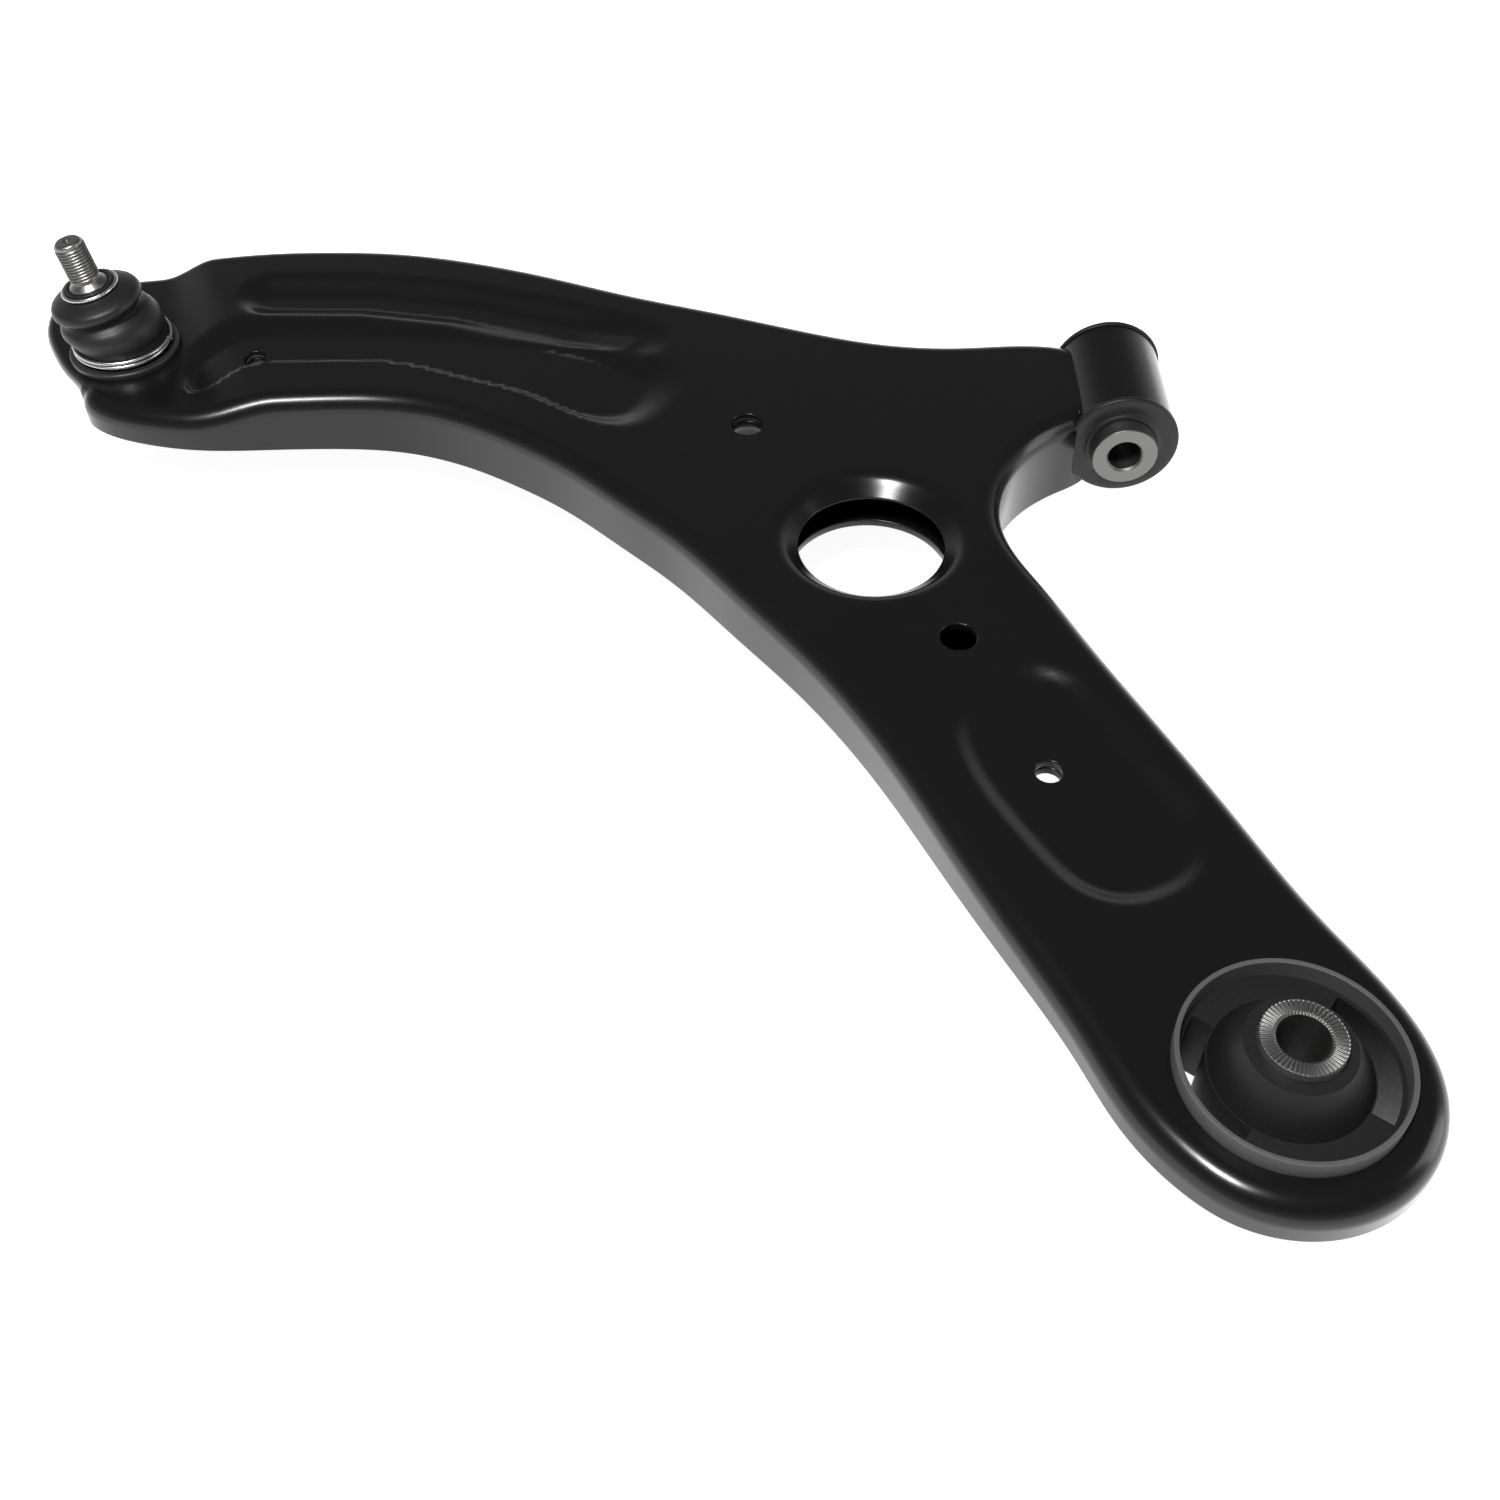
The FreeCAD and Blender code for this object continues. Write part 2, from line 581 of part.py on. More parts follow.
def shell_seam_welds():
    """Stitch beads in the corner between the skirt and the underside of the lower shell."""
    bead = wall_prism(SHEET).cut(wall_prism(SHEET + SEAM_BEAD))
    foot = under_leg(SEAM_STEP).fuse(under_arm(SEAM_STEP))
    below = under_leg(SEAM_STEP - SEAM_BEAD).fuse(under_arm(SEAM_STEP - SEAM_BEAD))
    bead = bead.common(foot.cut(below))
    stitches = []
    for x, y in SEAM_SPOTS:
        spot = Part.makeBox(SEAM_LEN, SEAM_LEN, TALL, V(x - SEAM_LEN / 2, y - SEAM_LEN / 2, DEEP))
        stitches += bead.common(spot).Solids
    return Part.makeCompound(stitches)


BUILDERS = [
    upper_shell, lower_shell, front_eye_tube, front_eye_weld, front_bush_outer_sleeve,
    front_bush_rubber, front_bush_inner_sleeve, rear_bush_outer_sleeve, rear_bush_rubber,
    rear_bush_inner_sleeve, ball_joint_housing, ball_seat, ball_joint_end_cap,
    ball_joint_retaining_ring, ball_stud, boot_lower_fold, boot_upper_fold, boot_lower_clip,
    boot_upper_clip, shell_seam_welds,
]

os.makedirs("parts", exist_ok=True)
for build in BUILDERS:
    shape = build()
    solids = shape.Solids
    print(build.__name__, shape.isValid(), [round(s.Volume) for s in solids])
    if len(solids) == 1:
        shape = solids[0]
    shape.exportStep("parts/" + build.__name__ + ".step")
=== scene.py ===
import json
import math

import bpy
import numpy as np
from mathutils import Matrix, Vector
from mathutils.geometry import delaunay_2d_cdt


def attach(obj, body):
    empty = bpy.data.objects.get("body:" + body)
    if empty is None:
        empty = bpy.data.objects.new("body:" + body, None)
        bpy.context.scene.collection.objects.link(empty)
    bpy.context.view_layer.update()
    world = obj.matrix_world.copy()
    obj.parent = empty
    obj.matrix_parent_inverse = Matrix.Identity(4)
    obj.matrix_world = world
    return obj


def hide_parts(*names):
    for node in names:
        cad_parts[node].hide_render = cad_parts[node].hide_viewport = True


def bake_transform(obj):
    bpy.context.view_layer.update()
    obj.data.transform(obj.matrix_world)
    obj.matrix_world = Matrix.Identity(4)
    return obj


# Stamped lower control arm. Sizes are in millimetres, in the frame of the CAD model: the origin is the
# centre of the rear bushing, +Y runs forward to the front bushing and -X outboard to the ball joint.
MM = 0.001
TAU = 2 * math.pi
JOINT = np.array([-394.0, 338.5, -6.0])
LEAN = math.radians(8.3)
FRONT = np.array([-2.0, 304.5, 0.0])

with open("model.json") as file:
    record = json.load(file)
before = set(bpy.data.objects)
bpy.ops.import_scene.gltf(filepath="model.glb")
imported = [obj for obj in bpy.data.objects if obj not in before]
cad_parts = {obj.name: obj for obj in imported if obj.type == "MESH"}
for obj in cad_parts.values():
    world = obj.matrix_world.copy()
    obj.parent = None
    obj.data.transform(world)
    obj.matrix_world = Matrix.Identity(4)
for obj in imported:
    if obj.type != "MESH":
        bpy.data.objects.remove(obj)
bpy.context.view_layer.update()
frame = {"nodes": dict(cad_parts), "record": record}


# ---------------------------------------------------------------- materials
BROAD_SCALE = 22.0
WEAR = 0.15
GRAIN_DEPTH = 0.0004


def material(name, base, rough, metallic, specular, grain, bump, spread):
    """Finish with a fine grain in its roughness and relief, and broad patches in its colour."""
    mat = bpy.data.materials.new(name)
    mat.use_nodes = True
    tree = mat.node_tree
    shader = tree.nodes["Principled BSDF"]
    shader.inputs["Metallic"].default_value = metallic
    shader.inputs["Specular IOR Level"].default_value = specular
    coord = tree.nodes.new("ShaderNodeTexCoord")
    fine = tree.nodes.new("ShaderNodeTexNoise")
    fine.inputs["Scale"].default_value = grain
    fine.inputs["Detail"].default_value = 4.0
    broad = tree.nodes.new("ShaderNodeTexNoise")
    broad.inputs["Scale"].default_value = BROAD_SCALE
    broad.inputs["Detail"].default_value = 3.0
    tree.links.new(coord.outputs["Object"], fine.inputs["Vector"])
    tree.links.new(coord.outputs["Object"], broad.inputs["Vector"])
    colour = tree.nodes.new("ShaderNodeMapRange")
    colour.inputs["To Min"].default_value = 1.0 - WEAR
    colour.inputs["To Max"].default_value = 1.0 + WEAR
    tree.links.new(broad.outputs["Fac"], colour.inputs["Value"])
    tint = tree.nodes.new("ShaderNodeVectorMath")
    tint.operation = "SCALE"
    tint.inputs[0].default_value = base
    tree.links.new(colour.outputs["Result"], tint.inputs["Scale"])
    tree.links.new(tint.outputs["Vector"], shader.inputs["Base Color"])
    roughness = tree.nodes.new("ShaderNodeMapRange")
    roughness.inputs["To Min"].default_value = rough - spread
    roughness.inputs["To Max"].default_value = rough + spread
    tree.links.new(fine.outputs["Fac"], roughness.inputs["Value"])
    tree.links.new(roughness.outputs["Result"], shader.inputs["Roughness"])
    relief = tree.nodes.new("ShaderNodeBump")
    relief.inputs["Strength"].default_value = bump
    relief.inputs["Distance"].default_value = GRAIN_DEPTH
    tree.links.new(fine.outputs["Fac"], relief.inputs["Height"])
    tree.links.new(relief.outputs["Normal"], shader.inputs["Normal"])
    return mat


# name: base colour, roughness, metallic, specular, grain scale, grain relief, spread of the roughness
FINISHES = {
    "black_paint": ((0.0035, 0.0035, 0.0037), 0.22, 0.0, 0.26, 260.0, 0.03, 0.03),
    "sleeve_coated": ((0.055, 0.055, 0.054), 0.6, 0.2, 0.4, 900.0, 0.25, 0.08),
    "rubber": ((0.0055, 0.0055, 0.0057), 0.46, 0.0, 0.26, 700.0, 0.12, 0.08),
    "sleeve_steel": ((0.13, 0.13, 0.128), 0.45, 1.0, 0.5, 1500.0, 0.15, 0.08),
    "stud_steel": ((0.17, 0.168, 0.165), 0.36, 1.0, 0.5, 900.0, 0.12, 0.08),
    "housing_steel": ((0.012, 0.012, 0.012), 0.38, 0.0, 0.35, 600.0, 0.1, 0.06),
    "seat_polymer": ((0.72, 0.70, 0.65), 0.5, 0.0, 0.4, 500.0, 0.05, 0.05),
    "clip_wire": ((0.38, 0.38, 0.38), 0.28, 1.0, 0.5, 1200.0, 0.05, 0.05),
    "weld_metal": ((0.007, 0.007, 0.007), 0.4, 0.0, 0.3, 500.0, 0.3, 0.08),
}
MATS = {name: material(name, *finish) for name, finish in FINISHES.items()}
for row in frame["record"]["subparts"]:
    node = frame["nodes"][row["node"]]
    node.data.materials.clear()
    node.data.materials.append(MATS[row["material_slot"]])


# ---------------------------------------------------------------- mesh helpers
def piece(name, verts, faces, slot, body=None, replaces=(), normals=None):
    """Adds a mesh drawn in millimetres. A piece with no body is left unattached."""
    mesh = bpy.data.meshes.new(name)
    mesh.from_pydata((np.asarray(verts) * MM).tolist(), [], [list(map(int, f)) for f in faces])
    mesh.polygons.foreach_set("use_smooth", [True] * len(mesh.polygons))
    mesh.update()
    if normals is not None:
        mesh.normals_split_custom_set_from_vertices(np.asarray(normals).tolist())
    mesh.materials.append(MATS[slot])
    obj = bpy.data.objects.new(name, mesh)
    bpy.context.scene.collection.objects.link(obj)
    if normals is None and body:
        mod = obj.modifiers.new("weighted", "WEIGHTED_NORMAL")
        mod.keep_sharp = True
    if body:
        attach(obj, body)
    if replaces:
        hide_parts(*replaces)
    return obj


TINY = 1e-9
CHUNK = 2000       # points handled at a time
CLEARANCE = 0.6    # least room round a grid point, as a share of the spacing
HALF_STEP = 0.05   # half the step of a slope


def bands(rings, n, closed=False):
    """Quads between rings of n points each, and from the last ring back to the first when closed."""
    quads = []
    for k in range(rings if closed else rings - 1):
        q = (k + 1) % rings
        for i in range(n):
            j = (i + 1) % n
            quads.append((k * n + i, k * n + j, q * n + j, q * n + i))
    return quads


def smooth(t):
    t = np.clip(t, 0.0, 1.0)
    return t * t * (3.0 - 2.0 * t)


def curve_through(xs, ys, x):
    """Smooth curve through points, with no overshoot."""
    xs, ys = np.asarray(xs, float), np.asarray(ys, float)
    slope = np.diff(ys) / np.diff(xs)
    tangent = np.zeros(len(xs))
    tangent[0], tangent[-1] = slope[0], slope[-1]
    both = slope[:-1] * slope[1:] > 0
    total = np.where(both, slope[:-1] + slope[1:], 1.0)
    tangent[1:-1] = np.where(both, 2 * slope[:-1] * slope[1:] / total, 0.0)
    x = np.clip(x, xs[0], xs[-1])
    i = np.clip(np.searchsorted(xs, x) - 1, 0, len(xs) - 2)
    h = xs[i + 1] - xs[i]
    t = (x - xs[i]) / h
    return ((1 + 2 * t) * (1 - t) ** 2 * ys[i] + t * (1 - t) ** 2 * h * tangent[i]
            + t * t * (3 - 2 * t) * ys[i + 1] + t * t * (t - 1) * h * tangent[i + 1])


def loop_through(points, step):
    """Closed smooth curve through points, sampled about every step."""
    p = np.asarray(points, float)
    n = len(p)
    h = np.linalg.norm(np.roll(p, -1, 0) - p, axis=1)
    a = np.zeros((n, n))
    b = np.zeros((n, 2))
    for i in range(n):
        j = (i + 1) % n
        a[i, i - 1] += h[i - 1] / 6
        a[i, i] += (h[i - 1] + h[i]) / 3
        a[i, j] += h[i] / 6
        b[i] = (p[j] - p[i]) / h[i] - (p[i] - p[i - 1]) / h[i - 1]
    m = np.linalg.solve(a, b)
    out = []
    for i in range(n):
        j = (i + 1) % n
        t = np.linspace(0, 1, max(2, int(round(h[i] / step))), endpoint=False)[:, None]
        s = 1 - t
        out.append(s * p[i] + t * p[j] + ((s ** 3 - s) * m[i] + (t ** 3 - t) * m[j]) * h[i] ** 2 / 6)
    return np.concatenate(out)


def inward(loop):
    """Unit normals that point into a counter-clockwise loop."""
    along = np.roll(loop, -1, 0) - np.roll(loop, 1, 0)
    along /= np.linalg.norm(along, axis=1)[:, None]
    return np.stack([-along[:, 1], along[:, 0]], 1)


def inside(points, loop):
    """True for the points that lie within a loop."""
    x, y = points[:, 0][:, None], points[:, 1][:, None]
    x0, y0 = loop[:, 0][None], loop[:, 1][None]
    x1, y1 = np.roll(loop[:, 0], -1)[None], np.roll(loop[:, 1], -1)[None]
    rise = np.where(y1 == y0, TINY, y1 - y0)
    cross = ((y0 > y) != (y1 > y)) & (x < (x1 - x0) * (y - y0) / rise + x0)
    return cross.sum(1) % 2 == 1


def gap(points, loop):
    """Distance from each point to the nearest sample of a curve."""
    out = np.empty(len(points))
    for k in range(0, len(points), CHUNK):
        d = points[k:k + CHUNK, None, :] - loop[None, :, :]
        out[k:k + CHUNK] = np.sqrt((d ** 2).sum(2).min(1))
    return out


def signed(points, loop):
    """Distance to the segments of a loop, positive inside it."""
    a = loop[None]
    ab = (np.roll(loop, -1, 0) - loop)[None]
    best = np.empty(len(points))
    for k in range(0, len(points), CHUNK):
        ap = points[k:k + CHUNK, None, :] - a
        t = np.clip((ap * ab).sum(2) / (ab ** 2).sum(2), 0, 1)
        best[k:k + CHUNK] = np.sqrt(((ap - t[..., None] * ab) ** 2).sum(2).min(1))
    return np.where(inside(points, loop), 1.0, -1.0) * best


def polyline_gap(points, path):
    """Distance to an open path, and the x of the nearest place on it."""
    best = np.full(len(points), np.inf)
    where = np.zeros(len(points))
    for k in range(len(path) - 1):
        a, b = np.asarray(path[k], float), np.asarray(path[k + 1], float)
        ab = b - a
        t = np.clip(((points - a) @ ab) / (ab @ ab), 0, 1)
        d = np.linalg.norm(points - a - t[:, None] * ab, axis=1)
        where = np.where(d < best, a[0] + t * ab[0], where)
        best = np.minimum(best, d)
    return best, where


def circle(centre, radius, n):
    a = np.arange(n) * TAU / n
    return np.stack([centre[0] + radius * np.cos(a), centre[1] + radius * np.sin(a)], 1)


def hex_grid(low, high, spacing):
    """Points of a triangular grid that covers a rectangle."""
    rows = []
    for k, y in enumerate(np.arange(low[1], high[1], spacing * math.sqrt(3) / 2)):
        x = np.arange(low[0] + (k % 2) * spacing / 2, high[0], spacing)
        rows.append(np.stack([x, np.full(len(x), y)], 1))
    return np.concatenate(rows)


def fill(border, holes, spacing, ringed):
    """Triangles between a border loop and hole loops; returns the points and the triangles.
    Each row of ringed is a centre, a radius and the widths at which rings of points lie round it."""
    room = spacing * CLEARANCE
    grid = hex_grid(border.min(0), border.max(0), spacing)
    grid = grid[inside(grid, border)]
    grid = grid[gap(grid, border) > room]
    extra = []
    for centre, radius, widths in ringed:
        d = np.linalg.norm(grid - np.asarray(centre), axis=1)
        grid = grid[d > radius + widths[-1] + spacing * 0.5]
        for width in widths:
            ring = circle(centre, radius + width, max(24, int(TAU * (radius + width) / spacing)))
            extra.append(ring[inside(ring, border) & (gap(ring, border) > room)])
    for loop in holes:
        grid = grid[~inside(grid, loop)]
        grid = grid[gap(grid, loop) > room]
    points = np.concatenate([border, *holes, *extra, grid])
    edges = []
    start = 0
    for loop in [border, *holes]:
        n = len(loop)
        edges += [(start + k, start + (k + 1) % n) for k in range(n)]
        start += n
    out = delaunay_2d_cdt([Vector((float(x), float(y))) for x, y in points], edges, [], 0, 1e-5)
    origin = [o[0] if o else -1 for o in out[3]]
    faces = np.array([[origin[v] for v in f] for f in out[2]])
    faces = faces[(faces >= 0).all(1)]
    middle = points[faces].mean(1)
    keep = inside(middle, border)
    for loop in holes:
        keep &= ~inside(middle, loop)
    faces = faces[keep]
    a, b, c = points[faces[:, 0]], points[faces[:, 1]], points[faces[:, 2]]
    area = (b[:, 0] - a[:, 0]) * (c[:, 1] - a[:, 1]) - (b[:, 1] - a[:, 1]) * (c[:, 0] - a[:, 0])
    faces[area < 0] = faces[area < 0][:, ::-1]
    return points, faces


def gradient(fn, points):
    e = HALF_STEP
    dx = (fn(points + [e, 0]) - fn(points - [e, 0])) / (2 * e)
    dy = (fn(points + [0, e]) - fn(points - [0, e])) / (2 * e)
    return dx, dy


# round of a cut edge: share of the thickness, how far it stands out, how far the normal has turned
CUT_EDGE = ((0.04, 0.22, 0.5), (0.14, 0.4, 0.9), (0.5, 0.46, 1.0), (0.86, 0.4, 0.9), (0.96, 0.22, 0.5))
SHEET = 3.0
WALL_ROWS = 8
RIM_ROWS = 8
LEAST_RIM = 1.6
LEAST_WALL = 0.6


def skin_rows(loop, skin, end, sign, radius):
    """Rows of points and normals up the skirt and over the rounded rim."""
    n = len(loop)
    nin = inward(loop)
    top, foot = skin(loop), end(loop)
    rad = np.clip(sign * (top - foot) - LEAST_WALL, LEAST_RIM, radius)
    rows, norms = [], []
    for k in range(WALL_ROWS):
        z = foot + (top - sign * rad - foot) * k / WALL_ROWS
        rows.append(np.column_stack([loop, z]))
        norms.append(np.column_stack([-nin, np.zeros(n)]))
    for k in range(RIM_ROWS + 1):
        a = k / RIM_ROWS * math.pi / 2
        xy = loop + nin * (rad * (1 - math.cos(a)))[:, None]
        z = skin(xy) - sign * rad * (1 - math.sin(a))
        rows.append(np.column_stack([xy, z]))
        norms.append(np.column_stack([-nin * math.cos(a), np.full(n, sign * math.sin(a))]))
    return rows, norms


def cut_edges(holes, n, first, sign):
    """Point numbers round the skirt's foot and round each hole, with the way each edge faces."""
    edges = [(np.arange(n), np.tile([0.0, 0.0, -float(sign)], (n, 1)))]
    for hole in holes:
        m = len(hole)
        toward = hole.mean(0) - hole
        toward /= np.linalg.norm(toward, axis=1)[:, None]
        edges.append((np.arange(first, first + m)[::-1], np.column_stack([toward, np.zeros(m)])[::-1]))
        first += m
    return edges


def stamped(name, loop, skin, end, sign, radius, holes, ringed, spacing, replaces):
    """Pressed sheet with its skin up (sign 1) or down (sign -1), a rounded rim and a skirt that ends at
    end(points). The inner face lies one sheet thickness in, and every cut edge is rounded."""
    n = len(loop)
    rows, norms = skin_rows(loop, skin, end, sign, radius)
    points, tris = fill(rows[-1][:, :2], holes, spacing, ringed)
    outer = np.concatenate(rows + [np.column_stack([points[n:], skin(points[n:])])])
    dx, dy = gradient(skin, points)
    nn = np.column_stack([-dx * sign, -dy * sign, np.full(len(points), float(sign))])
    nn /= np.linalg.norm(nn, axis=1)[:, None]
    norms[-1] = nn[:n]
    normal = np.concatenate(norms + [nn[n:]])
    last = (len(rows) - 1) * n
    face = bands(len(rows), n) + [tuple(v + last for v in f) for f in tris]
    total = len(outer)
    inner = outer - normal * SHEET
    faces = face + [tuple(v + total for v in f[::-1]) for f in face]
    verts, normals = [outer, inner], [normal, -normal]
    count = total * 2
    for ids, out in cut_edges(holes, n, last + n, sign):
        m = len(ids)
        loops = [ids]
        for share, push, turn in CUT_EDGE:
            side = normal[ids] * (1 - turn) * (1 if share < 0.5 else -1) + out * turn
            side /= np.linalg.norm(side, axis=1)[:, None]
            verts.append(outer[ids] + (inner[ids] - outer[ids]) * share + out * push)
            normals.append(side)
            loops.append(np.arange(count, count + m))
            count += m
        loops.append(ids + total)
        for p, q in zip(loops[:-1], loops[1:]):
            for i in range(m):
                j = (i + 1) % m
                faces.append((p[j], p[i], q[i], q[j]))
    if sign < 0:
        faces = [f[::-1] for f in faces]
    piece(name, clear_of_eye(np.concatenate(verts)), faces, "black_paint", "arm", replaces,
          np.concatenate(normals))


# ---------------------------------------------------------------- sheet metal
PLATE_TOP = 13.0
PLATFORM_DROP = 7.0
RIM = 7.5
BULB_R = 42.5
BULB_ANGLES = (222, 240, 262, 285, 308, 330, 352, 374)

# outline of the skirt, counter-clockwise from above, and the height of its lower edge along leg and arm
BULB = [(BULB_R * math.cos(math.radians(a)), BULB_R * math.sin(math.radians(a))) for a in BULB_ANGLES]
RIGHT_EDGE = [(22.0, 50.9), (3.4, 91.2), (-15.2, 131.5), (-31.0, 165.6), (-41.6, 190.0)]
NOTCH_EDGE = [(-49.6, 207.5), (-53.4, 222.0), (-52.6, 237.0), (-47.6, 252.0), (-38.5, 265.0),
              (-26.0, 275.5)]
EYE_END = [(-14.0, 284.0), (-8.0, 297.0), (-8.0, 312.0), (-14.0, 325.0)]
FAR_EDGE = [(-28.0, 330.2), (-60.0, 329.6), (-92.0, 332.6), (-120.0, 341.2), (-155.0, 354.4),
            (-190.0, 366.8), (-226.0, 381.6), (-256.0, 392.0), (-288.0, 399.4), (-322.0, 401.7),
            (-350.0, 400.5),
            (-372.0, 397.0), (-392.0, 393.2)]
NOSE_EDGE = [(-409.0, 390.6), (-422.0, 386.6), (-430.4, 378.0), (-432.7, 366.0), (-430.8, 353.0),
             (-425.0, 340.4), (-417.0, 328.0), (-409.4, 318.4), (-406.6, 313.0)]
NEAR_EDGE = [(-404.6, 308.0), (-400.0, 303.2), (-392.0, 298.8), (-380.0, 295.0), (-360.0, 292.0),
             (-330.0, 293.2), (-300.0, 294.6), (-276.0, 292.6), (-255.0, 285.4), (-235.0, 274.0),
             (-213.0, 258.0), (-190.0, 236.2), (-171.0, 217.0),
             (-150.0, 190.0), (-129.0, 162.0), (-113.6, 138.0), (-98.0, 108.0), (-82.6, 73.4), (-67.0, 40.0),
             (-54.2, 11.8), (-44.6, -10.6)]
OUTLINE = BULB + RIGHT_EDGE + NOTCH_EDGE + EYE_END + FAR_EDGE + NOSE_EDGE + NEAR_EDGE
LEG_FOOT = [(-80.0, 0.0), (0.0, 0.0), (60.0, -3.6), (110.0, -7.2), (160.0, -9.8), (205.0, -11.6),
            (232.0, -12.8), (258.0, -18.6), (280.0, -20.3), (430.0, -20.3)]
ARM_FOOT = [(-470.0, 1.6), (-440.0, 1.6), (-412.0, 1.4), (-407.6, 1.0), (-405.4, -6.4),
            (-402.0, -7.0), (-385.0, -7.6), (-345.0, -9.2), (-300.0, -10.8), (-257.0, -12.0),
            (-150.0, -12.0), (-80.0, -12.2),
            (-55.0, -16.6), (-38.0, -20.3), (80.0, -20.3)]

# holes; a small through hole has a centre, a radius and the depth of the pressing that it lies in
REAR_SEAT_R = 31.5
HOUSING_R = 19.0
BIG_HOLE = (-100.6, 215.6)
BIG_HOLE_R = 26.0
TOOL_HOLE = (-74.6, 163.6)
TOOL_HOLE_R = 6.6
THROUGH = [((-144.2, 277.4), 6.5, 0.0), ((-51.0, 107.6), 4.8, 3.2), ((-338.8, 326.0), 4.8, 3.0)]

# pressings of the upper sheet
LIP_START_R = 35.6
LIP_ROUND = 8.0
LIP_ARC = 5.14
LIP_SLOPE = 0.84
LIP_ARC_DROP = 1.87
POCKET_DEPTH = 3.2
POCKET_WALL = 9.5
WEB_DEPTH = 3.0
WEB_WALL = 4.5
WEB_SOFT_WALL = 14.0
GROOVE_DEPTH = 4.4
GROOVE_FLOOR = 3.5
GROOVE_WALL = 13.0
POCKET = [(-36, 57.5), (-24, 60), (-13, 69), (-9.5, 80), (-14.5, 95), (-24.5, 115), (-33, 133), (-41, 145),
          (-53, 149), (-66, 142), (-75.5, 128), (-74.5, 110), (-66, 90), (-56, 73), (-47, 62)]
WEB = [(-190.0, 283.0), (-208.0, 286.0), (-228.0, 299.0), (-252.0, 309.0), (-278.0, 319.0), (-300.0, 322.0),
       (-320.0, 321.6), (-334.0, 320.5), (-343.0, 318.6), (-352.0, 313.5), (-361.0, 311.0), (-366.0, 322.0),
       (-360.0, 338.0), (-345.0, 345.0), (-300.0, 346.0), (-251.0, 341.0), (-205.0, 326.0), (-178.0, 306.0)]
GROOVE = [(-338.0, 366.0), (-300.0, 365.0), (-262.0, 358.0), (-225.0, 346.0), (-190.0, 332.0)]
pocket_loop = loop_through(POCKET[::-1], 1.0)
web_loop = loop_through(WEB, 1.0)

# lower sheet
SHELL_INSET = 3.2
SEAM_STEP = 2.2
FLOOR_HIGHEST = -0.6
LOWER_END = 2.6
LOWER_RIM = 5.0
LOW_HOLE_R = 29.0
LOW_LIP_RISE = 1.2
LOW_LIP_WIDTH = 4.0
DIMPLE_TOP_Z = 6.6
DIMPLE_R = 8.0
DIMPLE_WALL = 9.0
EYE_WALL_R = 19.6
EYE_HALF = 23.0


def foot_line(p):
    """Height of the skirt's lower edge."""
    leg = curve_through(*zip(*LEG_FOOT), p[:, 1])
    arm = curve_through(*zip(*ARM_FOOT), p[:, 0])
    return np.maximum(leg, arm)


def within(p, x0, x1, y0, y1):
    return (p[:, 0] > x0) & (p[:, 0] < x1) & (p[:, 1] > y0) & (p[:, 1] < y1)


def platform_step(x, y):
    """Drop of the slanting step down to the ball joint's platform."""
    k = (y - 290.0) / 106.0
    start = -325.0 - 46.0 * k
    stop = -357.0 - 34.0 * k
    run = np.maximum(start - stop, 6.0)
    return PLATFORM_DROP * smooth(((start - x) / run + 0.1) / 1.2)


def pocket_drop(p):
    return POCKET_DEPTH * smooth(signed(p, pocket_loop) / POCKET_WALL + 0.5)


def web_drop(p):
    """The web's wall is crisp along the near rail and soft at its inboard end and beside the groove."""
    far = smooth((p[:, 1] - 326.0) / 12.0)
    inboard = smooth((p[:, 0] + 215.0) / 40.0)
    wall = WEB_WALL + WEB_SOFT_WALL * np.maximum(inboard, far * 0.8)
    return WEB_DEPTH * smooth(signed(p, web_loop) / wall + 0.5)


def groove_drop(p):
    """The groove fades out towards both of its ends."""
    d, where = polyline_gap(p, GROOVE)
    fade = smooth((-172.0 - where) / 45.0) * smooth((where + 352.0) / 14.0)
    return GROOVE_DEPTH * (1 - smooth((d - GROOVE_FLOOR) / GROOVE_WALL)) * fade


def lip_drop(x, y):
    """The sheet rolls down into the large hole on an arc and then runs straight."""
    q = np.clip(LIP_START_R - np.hypot(x - BIG_HOLE[0], y - BIG_HOLE[1]), 0, 12)
    arc = LIP_ROUND - np.sqrt(LIP_ROUND ** 2 - np.minimum(q, LIP_ARC) ** 2)
    return np.where(q < LIP_ARC, arc, LIP_ARC_DROP + (q - LIP_ARC) * LIP_SLOPE)


def top_skin(p):
    """Height of the upper sheet's skin. Each pressing is worked out only near its place."""
    x, y = p[:, 0], p[:, 1]
    drop = np.zeros(len(p))
    places = ((within(p, -90, 5, 45, 162), pocket_drop), (within(p, -380, -160, 270, 360), web_drop),
              (within(p, -370, -150, 310, 390), groove_drop))
    for near, pressing in places:
        if near.any():
            drop[near] += pressing(p[near])
    return PLATE_TOP - platform_step(x, y) - drop - lip_drop(x, y)


def floor_skin(p):
    """Height of the lower sheet's underside, with a dimple up to each small through hole."""
    x, y = p[:, 0], p[:, 1]
    z = np.minimum(foot_line(p) + SEAM_STEP, FLOOR_HIGHEST)
    for centre, _, depth in THROUGH:
        r = np.hypot(x - centre[0], y - centre[1])
        z = z + (DIMPLE_TOP_Z - depth - z) * (1 - smooth((r - DIMPLE_R) / DIMPLE_WALL))
    r = np.hypot(x - BIG_HOLE[0], y - BIG_HOLE[1])
    return z + LOW_LIP_RISE * (1 - smooth((r - LOW_HOLE_R) / LOW_LIP_WIDTH))


